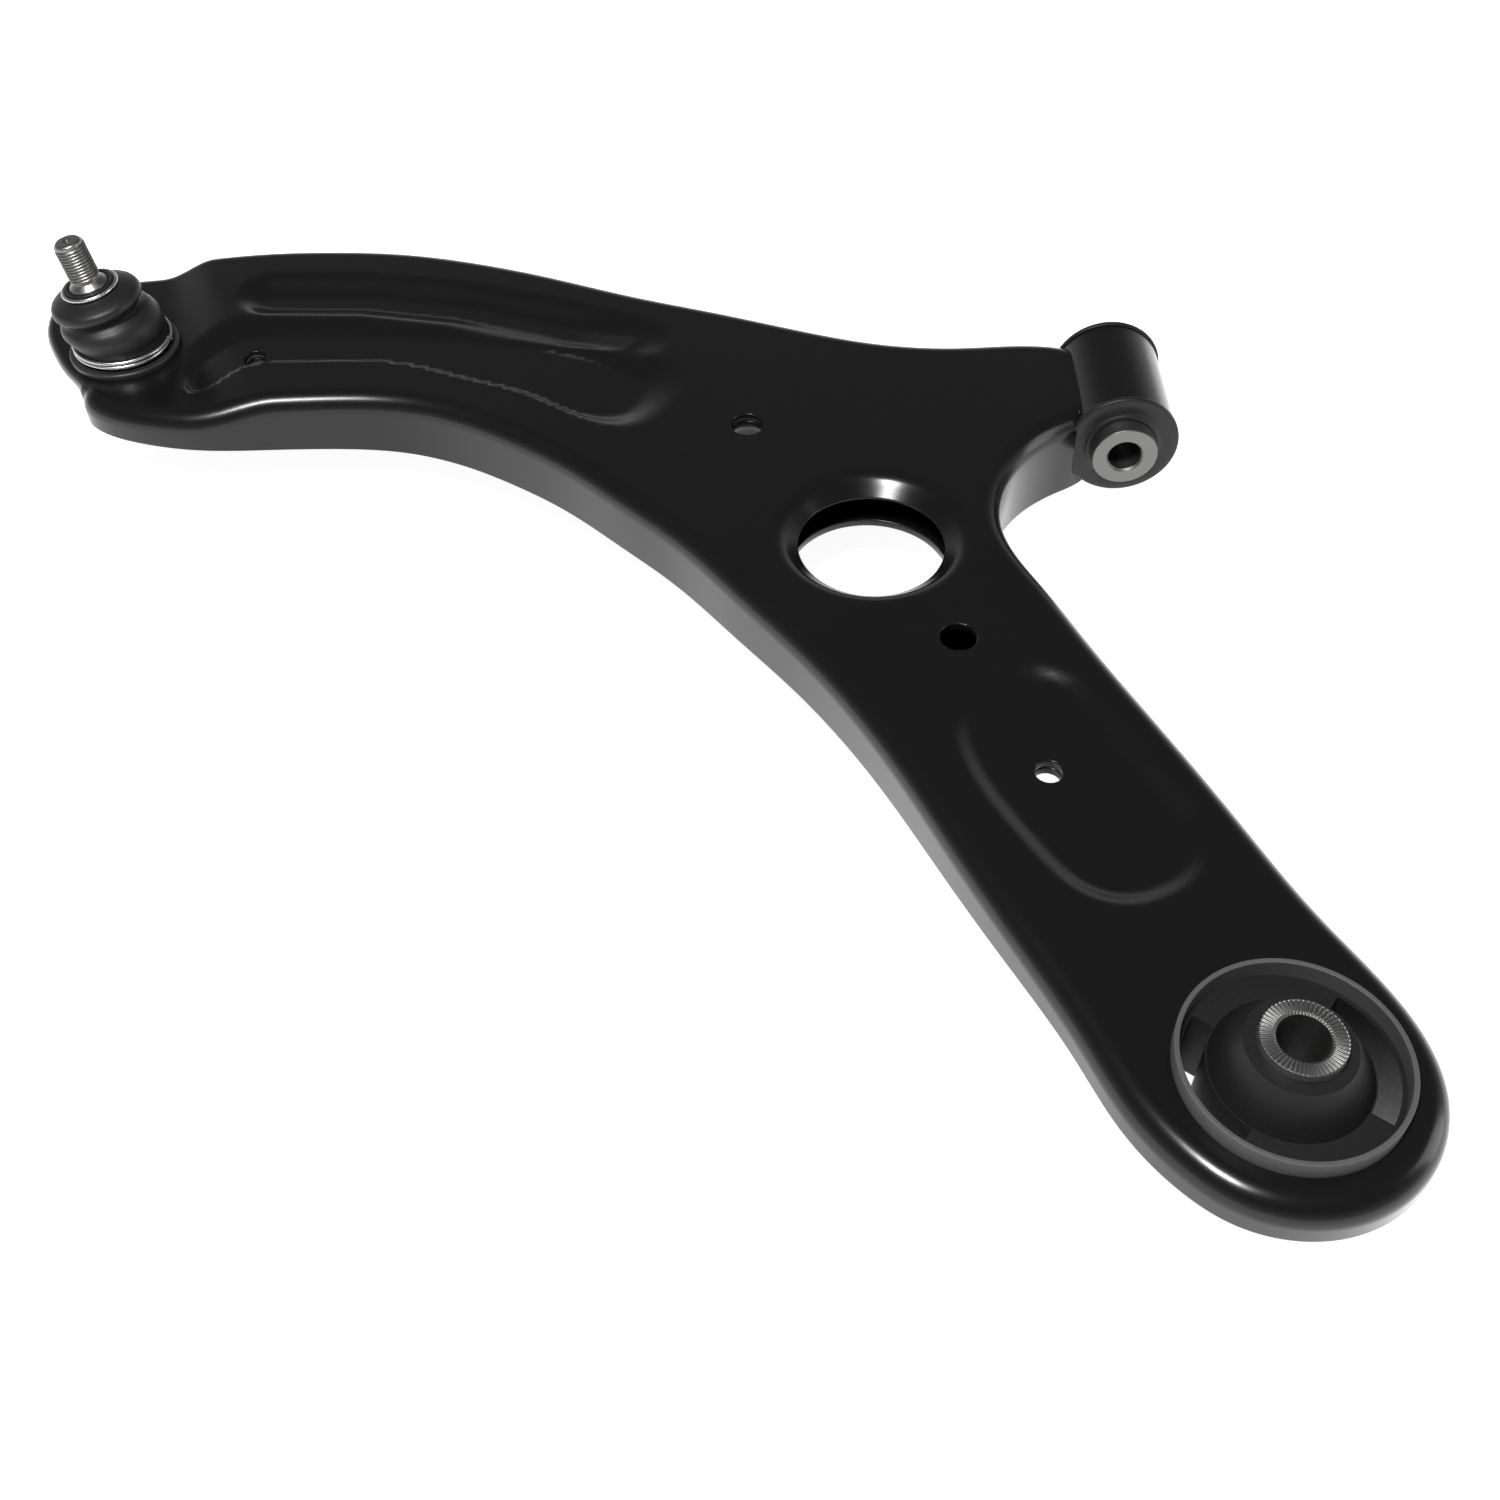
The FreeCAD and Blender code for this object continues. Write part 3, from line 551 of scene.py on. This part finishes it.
def clear_of_eye(v):
    """Sheet that reaches the eye tube ends in the middle of the tube's wall."""
    v = v.copy()
    near = (v[:, 0] > -40) & (v[:, 1] > FRONT[1] - EYE_HALF) & (v[:, 1] < FRONT[1] + EYE_HALF)
    dx, dz = v[near, 0] - FRONT[0], v[near, 2]
    r = np.hypot(dx, dz)
    k = np.maximum(r, EYE_WALL_R) / np.maximum(r, TINY)
    v[near, 0] = FRONT[0] + dx * k
    v[near, 2] = dz * k
    return v


def sheets():
    """Upper and lower sheet of the clamshell."""
    outline = loop_through(OUTLINE, 2.0)
    small = [circle(centre, radius, 28) for centre, radius, _ in THROUGH]
    holes = [circle((0, 0), REAR_SEAT_R, 120), circle(JOINT[:2], HOUSING_R, 72),
             circle(BIG_HOLE, BIG_HOLE_R, 96), circle(TOOL_HOLE, TOOL_HOLE_R, 32)]
    ringed = [(BIG_HOLE, BIG_HOLE_R, [1.6, 3.2, 4.8, 6.2, 7.6, 9.0, 10.4]),
              (TOOL_HOLE, TOOL_HOLE_R, [1.2]), ((0, 0), REAR_SEAT_R, [1.5])]
    ringed += [(centre, radius, [1.2]) for centre, radius, _ in THROUGH]
    stamped("upper_sheet", outline, top_skin, foot_line, 1, RIM, holes + small, ringed, 2.4,
            ["upper_shell"])
    holes = [circle((0, 0), REAR_SEAT_R, 90), circle(JOINT[:2], HOUSING_R, 60),
             circle(BIG_HOLE, LOW_HOLE_R, 90)]
    ringed = [(BIG_HOLE, LOW_HOLE_R, [1.2, 2.6, 4.2])]
    ringed += [(centre, radius, [1.5, 3.2, 5.5, 8.0, 10.5, 13.0]) for centre, radius, _ in THROUGH]
    stamped("lower_sheet", outline + inward(outline) * SHELL_INSET, floor_skin,
            lambda p: np.full(len(p), LOWER_END), -1, LOWER_RIM, holes + small, ringed, 3.0,
            ["lower_shell"])


sheets()


# ---------------------------------------------------------------- turned pieces
def rounded(profile, default, steps=4):
    """Closed (radius, height) profile with its corners rounded; a third value is a corner's own round."""
    out = []
    n = len(profile)
    for i in range(n):
        p = np.array(profile[i][:2], float)
        a = np.array(profile[i - 1][:2], float)
        b = np.array(profile[(i + 1) % n][:2], float)
        r = profile[i][2] if len(profile[i]) > 2 else default
        u, v = a - p, b - p
        lu, lv = np.linalg.norm(u), np.linalg.norm(v)
        u, v = u / lu, v / lv
        r = min(r, lu * 0.45, lv * 0.45)
        for k in range(steps + 1):
            t = k / steps
            out.append((1 - t) ** 2 * (p + u * r) + 2 * t * (1 - t) * p + t * t * (p + v * r))
    return np.array(out)


def about(axis, origin):
    """Turns (x, y, z) drawn along +Z into place."""
    origin = np.asarray(origin, float)
    if axis == "y":
        return lambda v: np.column_stack([v[:, 0], v[:, 2], -v[:, 1]]) + origin
    if axis == "lean":
        c, s = math.cos(LEAN), math.sin(LEAN)
        turn = np.array([[c, 0, s], [0, 1, 0], [-s, 0, c]])
        return lambda v: v @ turn + origin
    return lambda v: v + origin


def lathe(name, slot, profile, n, place, body, replaces, default=0.4, shape=None):
    """Ring turned from a closed profile that runs counter-clockwise in (radius, height)."""
    prof = rounded(profile, default)
    a = np.arange(n) * TAU / n
    verts = np.stack([np.outer(prof[:, 0], np.cos(a)), np.outer(prof[:, 0], np.sin(a)),
                      np.outer(prof[:, 1], np.ones(n))], 2)
    if shape is not None:
        verts = shape(verts, a)
    piece(name, place(verts.reshape(-1, 3)), bands(len(prof), n, True), slot, body, replaces)


def both_ways(half):
    """Profile given for its upper half, from the outside in, and mirrored below."""
    return [(r, -z, *more) for r, z, *more in half[::-1]] + list(half)


rear = about("z", (0, 0, 0))
front = about("y", FRONT)
joint = about("z", JOINT)
lean = about("lean", JOINT)


# ---------------------------------------------------------------- bushings
LINER_HALF = 22
BEAD_POINTS = 40
BEAD_SIDES = 10
BEAD_LINE_R = 20.7
BEAD_WIRE = 1.1
TEETH = 54
TOOTH_DEPTH = 0.55


def eye_bead(name, ys, z):
    """Weld bead along the line where the sheet meets the eye tube; it thins out towards its ends."""
    x = FRONT[0] - math.sqrt(BEAD_LINE_R ** 2 - z * z)
    b = np.arange(BEAD_SIDES) * TAU / BEAD_SIDES
    rings = []
    for i, y in enumerate(ys):
        ends = min(1.0, 0.35 + 0.25 * min(i, len(ys) - 1 - i))
        wire = BEAD_WIRE * (1 + 0.12 * math.sin(y * 2.3)) * ends
        rings.append(np.column_stack([x + wire * np.cos(b), np.full(BEAD_SIDES, y), z + wire * np.sin(b)]))
    last = (len(ys) - 1) * BEAD_SIDES
    faces = bands(len(ys), BEAD_SIDES)
    faces += [tuple(range(BEAD_SIDES))[::-1], tuple(range(last, last + BEAD_SIDES))]
    piece(name, np.concatenate(rings), faces, "weld_metal", "arm", ["front_eye_weld"])


def serrate(v, a):
    """Sawtooth ring of fine radial teeth on both end faces."""
    r = np.hypot(v[..., 0], v[..., 1])
    wave = np.abs(((a * TEETH / TAU) % 1.0) - 0.5) * 2
    z = v[..., 2]
    end = (np.abs(z) > 28.2) & (r > 7.9) & (r < 11.4)
    v[..., 2] = np.where(end, z - np.sign(z) * TOOTH_DEPTH * wave[None, :], z)
    return v


def front_bushing():
    lathe("eye_tube", "black_paint", both_ways([(20.5, EYE_HALF), (18.2, EYE_HALF)]), 120, front, "arm",
          ["front_eye_tube"], 0.6)
    eye_bead("eye_bead_top", np.linspace(284, 325, BEAD_POINTS), 11.6)
    eye_bead("eye_bead_low", np.linspace(284, 325, BEAD_POINTS)[::-1], -11.0)
    lathe("front_liner", "sleeve_coated", both_ways([(18.2, LINER_HALF), (16.7, LINER_HALF)]),
          96, front, "arm", ["front_bush_outer_sleeve"], 0.3)
    rubber = [(16.7, 22), (18.2, 22), (18.2, 23.05), (21.3, 23.05, 0.6), (21.3, 25.2, 1.2),
              (18.6, 25.4, 0.8), (14.6, 25.0, 0.6), (13.6, 26, 0.6), (12.2, 26, 0.3)]
    lathe("front_rubber", "rubber", both_ways(rubber), 120, front, "arm", ["front_bush_rubber"], 0.3)
    lathe("front_sleeve", "sleeve_steel", both_ways([(12.2, 32, 0.5), (7.05, 32, 0.1), (6.25, 31.2, 0.1)]),
          120, front, "front_bolt_sleeve", ["front_bush_inner_sleeve"])


def rear_bushing():
    lathe("rear_ring", "sleeve_coated", both_ways([(31.5, 19), (30.0, 19)]), 160, rear, "arm",
          ["rear_bush_outer_sleeve"], 0.35)
    lathe("rear_sleeve", "sleeve_steel", both_ways([(11.6, 29, 0.4), (9.6, 29), (8.0, 29), (7.2, 28.2)]),
          6 * TEETH, rear, "rear_bolt_sleeve", ["rear_bush_inner_sleeve"], 0.05, serrate)


front_bushing()
rear_bushing()


# ---------------------------------------------------------------- ball joint
HOUSING = [(16.8, -17, 0.3), (19, -17, 0.8), (19, 12, 0.2), (21.6, 12, 0.3), (21.6, 14.4, 0.9),
           (16.4, 14.4, 0.5), (16.4, 17.8, 0.5), (13.6, 17.8, 0.4), (13.3, 8.8, 0.2), (15.6, 8.8, 0.2),
           (15.6, -13.6, 0.2), (16.8, -13.6, 0.2)]
CLIP_SIDES = 12
CLIP_WIRE = 0.85


def clip(name, radius, low, high, place, body, replaces, turns):
    """Wire ring round the boot. With more than one turn its ends are open, and it steps up from low to
    high half way along."""
    n = 120 * turns
    a = np.arange(n) * TAU * turns / n
    b = np.arange(CLIP_SIDES) * TAU / CLIP_SIDES
    z = low + (high - low) * smooth((np.arange(n) / n - 0.42) / 0.16)
    reach = radius + CLIP_WIRE * np.cos(b)
    rise = z[:, None] + CLIP_WIRE * np.sin(b)
    verts = np.stack([np.outer(np.cos(a), reach), np.outer(np.sin(a), reach), rise], 2)
    faces = [(p, t, r, q) for p, q, r, t in bands(n, CLIP_SIDES, turns == 1)]
    if turns > 1:
        faces += [tuple(range(CLIP_SIDES)), tuple(range((n - 1) * CLIP_SIDES, n * CLIP_SIDES))[::-1]]
    piece(name, place(verts.reshape(-1, 3)), faces, "clip_wire", body, replaces)


lathe("joint_housing", "housing_steel", HOUSING, 120, joint, "arm", ["ball_joint_housing"])
clip("lower_clip", 18.75, 16.2, 18.0, joint, "arm", ["boot_lower_clip"], 2)
clip("upper_clip", 10.45, 41.6, 41.6, lean, "boot_top", ["boot_upper_clip"], 1)

# stud, as radius and distance along its axis from the ball's centre
BALL_R = 13.5
BALL_ROWS = 25
NECK_R = 5.9
SHANK = [(5.9, 13.0), (5.9, 26), (6.4, 29.6), (7.55, 37.8), (7.6, 38.2), (7.6, 42.6), (7.3, 43.2),
         (5.3, 44.6), (5.25, 45.2)]
THREAD_START = 45.4
THREAD_STOP = 60.2
THREAD_ROW = 0.125
PITCH = 1.25
THREAD_CORE = 5.25
THREAD_BODY = 0.75
THREAD_DEPTH = 0.78
TIP = [(5.7, 60.4), (4.7, 61.35), (4.2, 61.5), (1.7, 61.5), (1.3, 61.3), (0.5, 60.6)]
TIP_BOTTOM = 60.4


def thread_radius(s, a):
    """Radius of the helical thread at s along the stud, faded in and out at its ends."""
    phase = (s / PITCH - a / TAU) % 1.0
    depth = THREAD_DEPTH * np.clip(np.abs(phase - 0.5) * 2.3 - 0.1, 0, 1)
    fade = min(1.0, (s - 45.3) / 0.9, (60.4 - s) / 0.9)
    return (THREAD_CORE + THREAD_BODY * fade) - depth * fade


def stud():
    n = 96
    a = np.arange(n) * TAU / n
    sweep = math.pi / 2 + math.acos(NECK_R / BALL_R)
    ball = [-math.pi / 2 + k / BALL_ROWS * sweep for k in range(1, BALL_ROWS)]
    rows = [(np.full(n, BALL_R * math.cos(t)), BALL_R * math.sin(t)) for t in ball]
    rows += [(np.full(n, r), s) for r, s in SHANK]
    s = THREAD_START
    while s < THREAD_STOP:
        rows.append((thread_radius(s, a), s))
        s += THREAD_ROW
    rows += [(np.full(n, r), s) for r, s in TIP]
    verts = [np.column_stack([r * np.cos(a), r * np.sin(a), np.full(n, s)]) for r, s in rows]
    verts = np.concatenate(verts + [np.array([[0, 0, -BALL_R], [0, 0, TIP_BOTTOM]])])
    m = len(rows)
    faces = bands(m, n)
    for i in range(n):
        j = (i + 1) % n
        faces.append((m * n, j, i))
        faces.append((m * n + 1, (m - 1) * n + i, (m - 1) * n + j))
    piece("threaded_stud", lean(verts), faces, "stud_steel", "stud", ["ball_stud"])


stud()


# ---------------------------------------------------------------- boot
# height above the ball's centre and radius
BOOT = [(15.0, 17.9), (17.4, 17.95), (19.6, 18.1), (22.4, 19.0), (25.4, 19.3), (28.4, 18.2), (30.6, 16.0),
        (31.8, 15.3), (33.2, 16.4), (35.2, 18.0), (37.2, 17.4), (39.0, 14.6), (40.2, 11.4), (41.2, 9.7),
        (42.9, 9.5)]
BOOT_WALL = 1.5
BOOT_LEAST_WALL = 0.6
BOOT_ROWS = 44
BOOT_SIDES = 96
WAIST = 31.8


def lean_at(h):
    """The boot follows the stud's lean from its fixed lower end to its upper one."""
    return LEAN * float(smooth((h - 17.0) / 15.0))


def boot_fold(name, s0, s1, replaces):
    """Half of the boot, from s0 to s1."""
    heights, radii = np.array(BOOT).T
    length = np.concatenate([[0], np.cumsum(np.hypot(np.diff(heights), np.diff(radii)))])
    lo, hi = np.interp([s0, s1], heights, length)
    t = np.linspace(lo, hi, BOOT_ROWS)
    s = curve_through(length, heights, t)
    r = curve_through(length, radii, t)
    ds, dr = np.gradient(s, t), np.gradient(r, t)
    wall = np.column_stack([np.minimum(r - BOOT_WALL * ds, r - BOOT_LEAST_WALL), s + BOOT_WALL * dr])
    prof = np.concatenate([np.column_stack([r, s]), wall[::-1]])
    a = np.arange(BOOT_SIDES) * TAU / BOOT_SIDES
    verts = []
    for rad, h in prof:
        c, q = math.cos(lean_at(h)), math.sin(lean_at(h))
        x, y = rad * np.cos(a), rad * np.sin(a)
        verts.append(np.column_stack([x * c - h * q, y, x * q + h * c]) + JOINT)
    obj = piece(name, np.concatenate(verts), bands(len(prof), BOOT_SIDES, True), "rubber", None, replaces)
    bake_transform(obj)


boot_fold("boot_lower", 15.0, WAIST, ["boot_lower_fold"])
boot_fold("boot_upper", WAIST, 42.9, ["boot_upper_fold"])


# ---------------------------------------------------------------- stage, lights, camera
FLOOR_HALF = 6
FLOOR_Z = -0.0292


def floor():
    mat = bpy.data.materials.new("pale_floor")
    mat.use_nodes = True
    shader = mat.node_tree.nodes["Principled BSDF"]
    shader.inputs["Base Color"].default_value = (0.8, 0.8, 0.8, 1)
    shader.inputs["Roughness"].default_value = 0.9
    shader.inputs["Emission Color"].default_value = (1, 1, 1, 1)
    shader.inputs["Emission Strength"].default_value = 0.9
    mesh = bpy.data.meshes.new("floor")
    corners = ((-1, -1), (1, -1), (1, 1), (-1, 1))
    mesh.from_pydata([(x * FLOOR_HALF, y * FLOOR_HALF, FLOOR_Z) for x, y in corners], [], [(0, 1, 2, 3)])
    mesh.materials.append(mat)
    ground = bpy.data.objects.new("floor", mesh)
    bpy.context.scene.collection.objects.link(ground)


def studio():
    """The camera sees white, and the paint mirrors a dim sky that brightens towards the horizon and
    below."""
    world = bpy.data.worlds.new("studio")
    world.use_nodes = True
    tree = world.node_tree
    coord = tree.nodes.new("ShaderNodeTexCoord")
    split = tree.nodes.new("ShaderNodeSeparateXYZ")
    ramp = tree.nodes.new("ShaderNodeValToRGB")
    ramp.color_ramp.elements[0].position = 0.05
    ramp.color_ramp.elements[0].color = (0.9, 0.9, 0.9, 1)
    ramp.color_ramp.elements[1].position = 0.5
    ramp.color_ramp.elements[1].color = (0.16, 0.16, 0.16, 1)
    path = tree.nodes.new("ShaderNodeLightPath")
    mix = tree.nodes.new("ShaderNodeMix")
    mix.data_type = "RGBA"
    mix.inputs[7].default_value = (1, 1, 1, 1)
    tree.links.new(coord.outputs["Generated"], split.inputs[0])
    tree.links.new(split.outputs["Z"], ramp.inputs["Fac"])
    tree.links.new(path.outputs["Is Camera Ray"], mix.inputs[0])
    tree.links.new(ramp.outputs["Color"], mix.inputs[6])
    tree.links.new(mix.outputs[2], tree.nodes["Background"].inputs["Color"])
    bpy.context.scene.world = world


def softbox(name, where, size, energy, target=(-0.2, 0.2, 0.0)):
    light = bpy.data.lights.new(name, "AREA")
    light.shape = "RECTANGLE"
    light.size, light.size_y = size
    light.energy = energy
    obj = bpy.data.objects.new(name, light)
    obj.location = where
    obj.rotation_euler = (Vector(target) - Vector(where)).to_track_quat("-Z", "Y").to_euler()
    bpy.context.scene.collection.objects.link(obj)


def view():
    """Camera placed as the photograph's was."""
    camera = bpy.data.objects.new("camera", bpy.data.cameras.new("camera"))
    bpy.context.scene.collection.objects.link(camera)
    camera.data.lens = 40.8
    camera.data.sensor_width = 36
    camera.data.clip_start = 0.01
    camera.matrix_world = Matrix(((0.99995, 0.00669, 0.00753, -0.139256),
                                  (0.0, 0.74750, -0.66426, -0.235834),
                                  (-0.01007, 0.66422, 0.74746, 0.407064), (0, 0, 0, 1)))
    bpy.context.scene.camera = camera
    bpy.context.scene.view_settings.view_transform = "Standard"


floor()
studio()
softbox("overhead", (-0.47, -0.35, 1.45), (0.34, 0.32), 44.0)
softbox("side", (1.6, 0.1, 0.5), (0.6, 1.2), 10.0)
view()

bpy.context.view_layer.update()
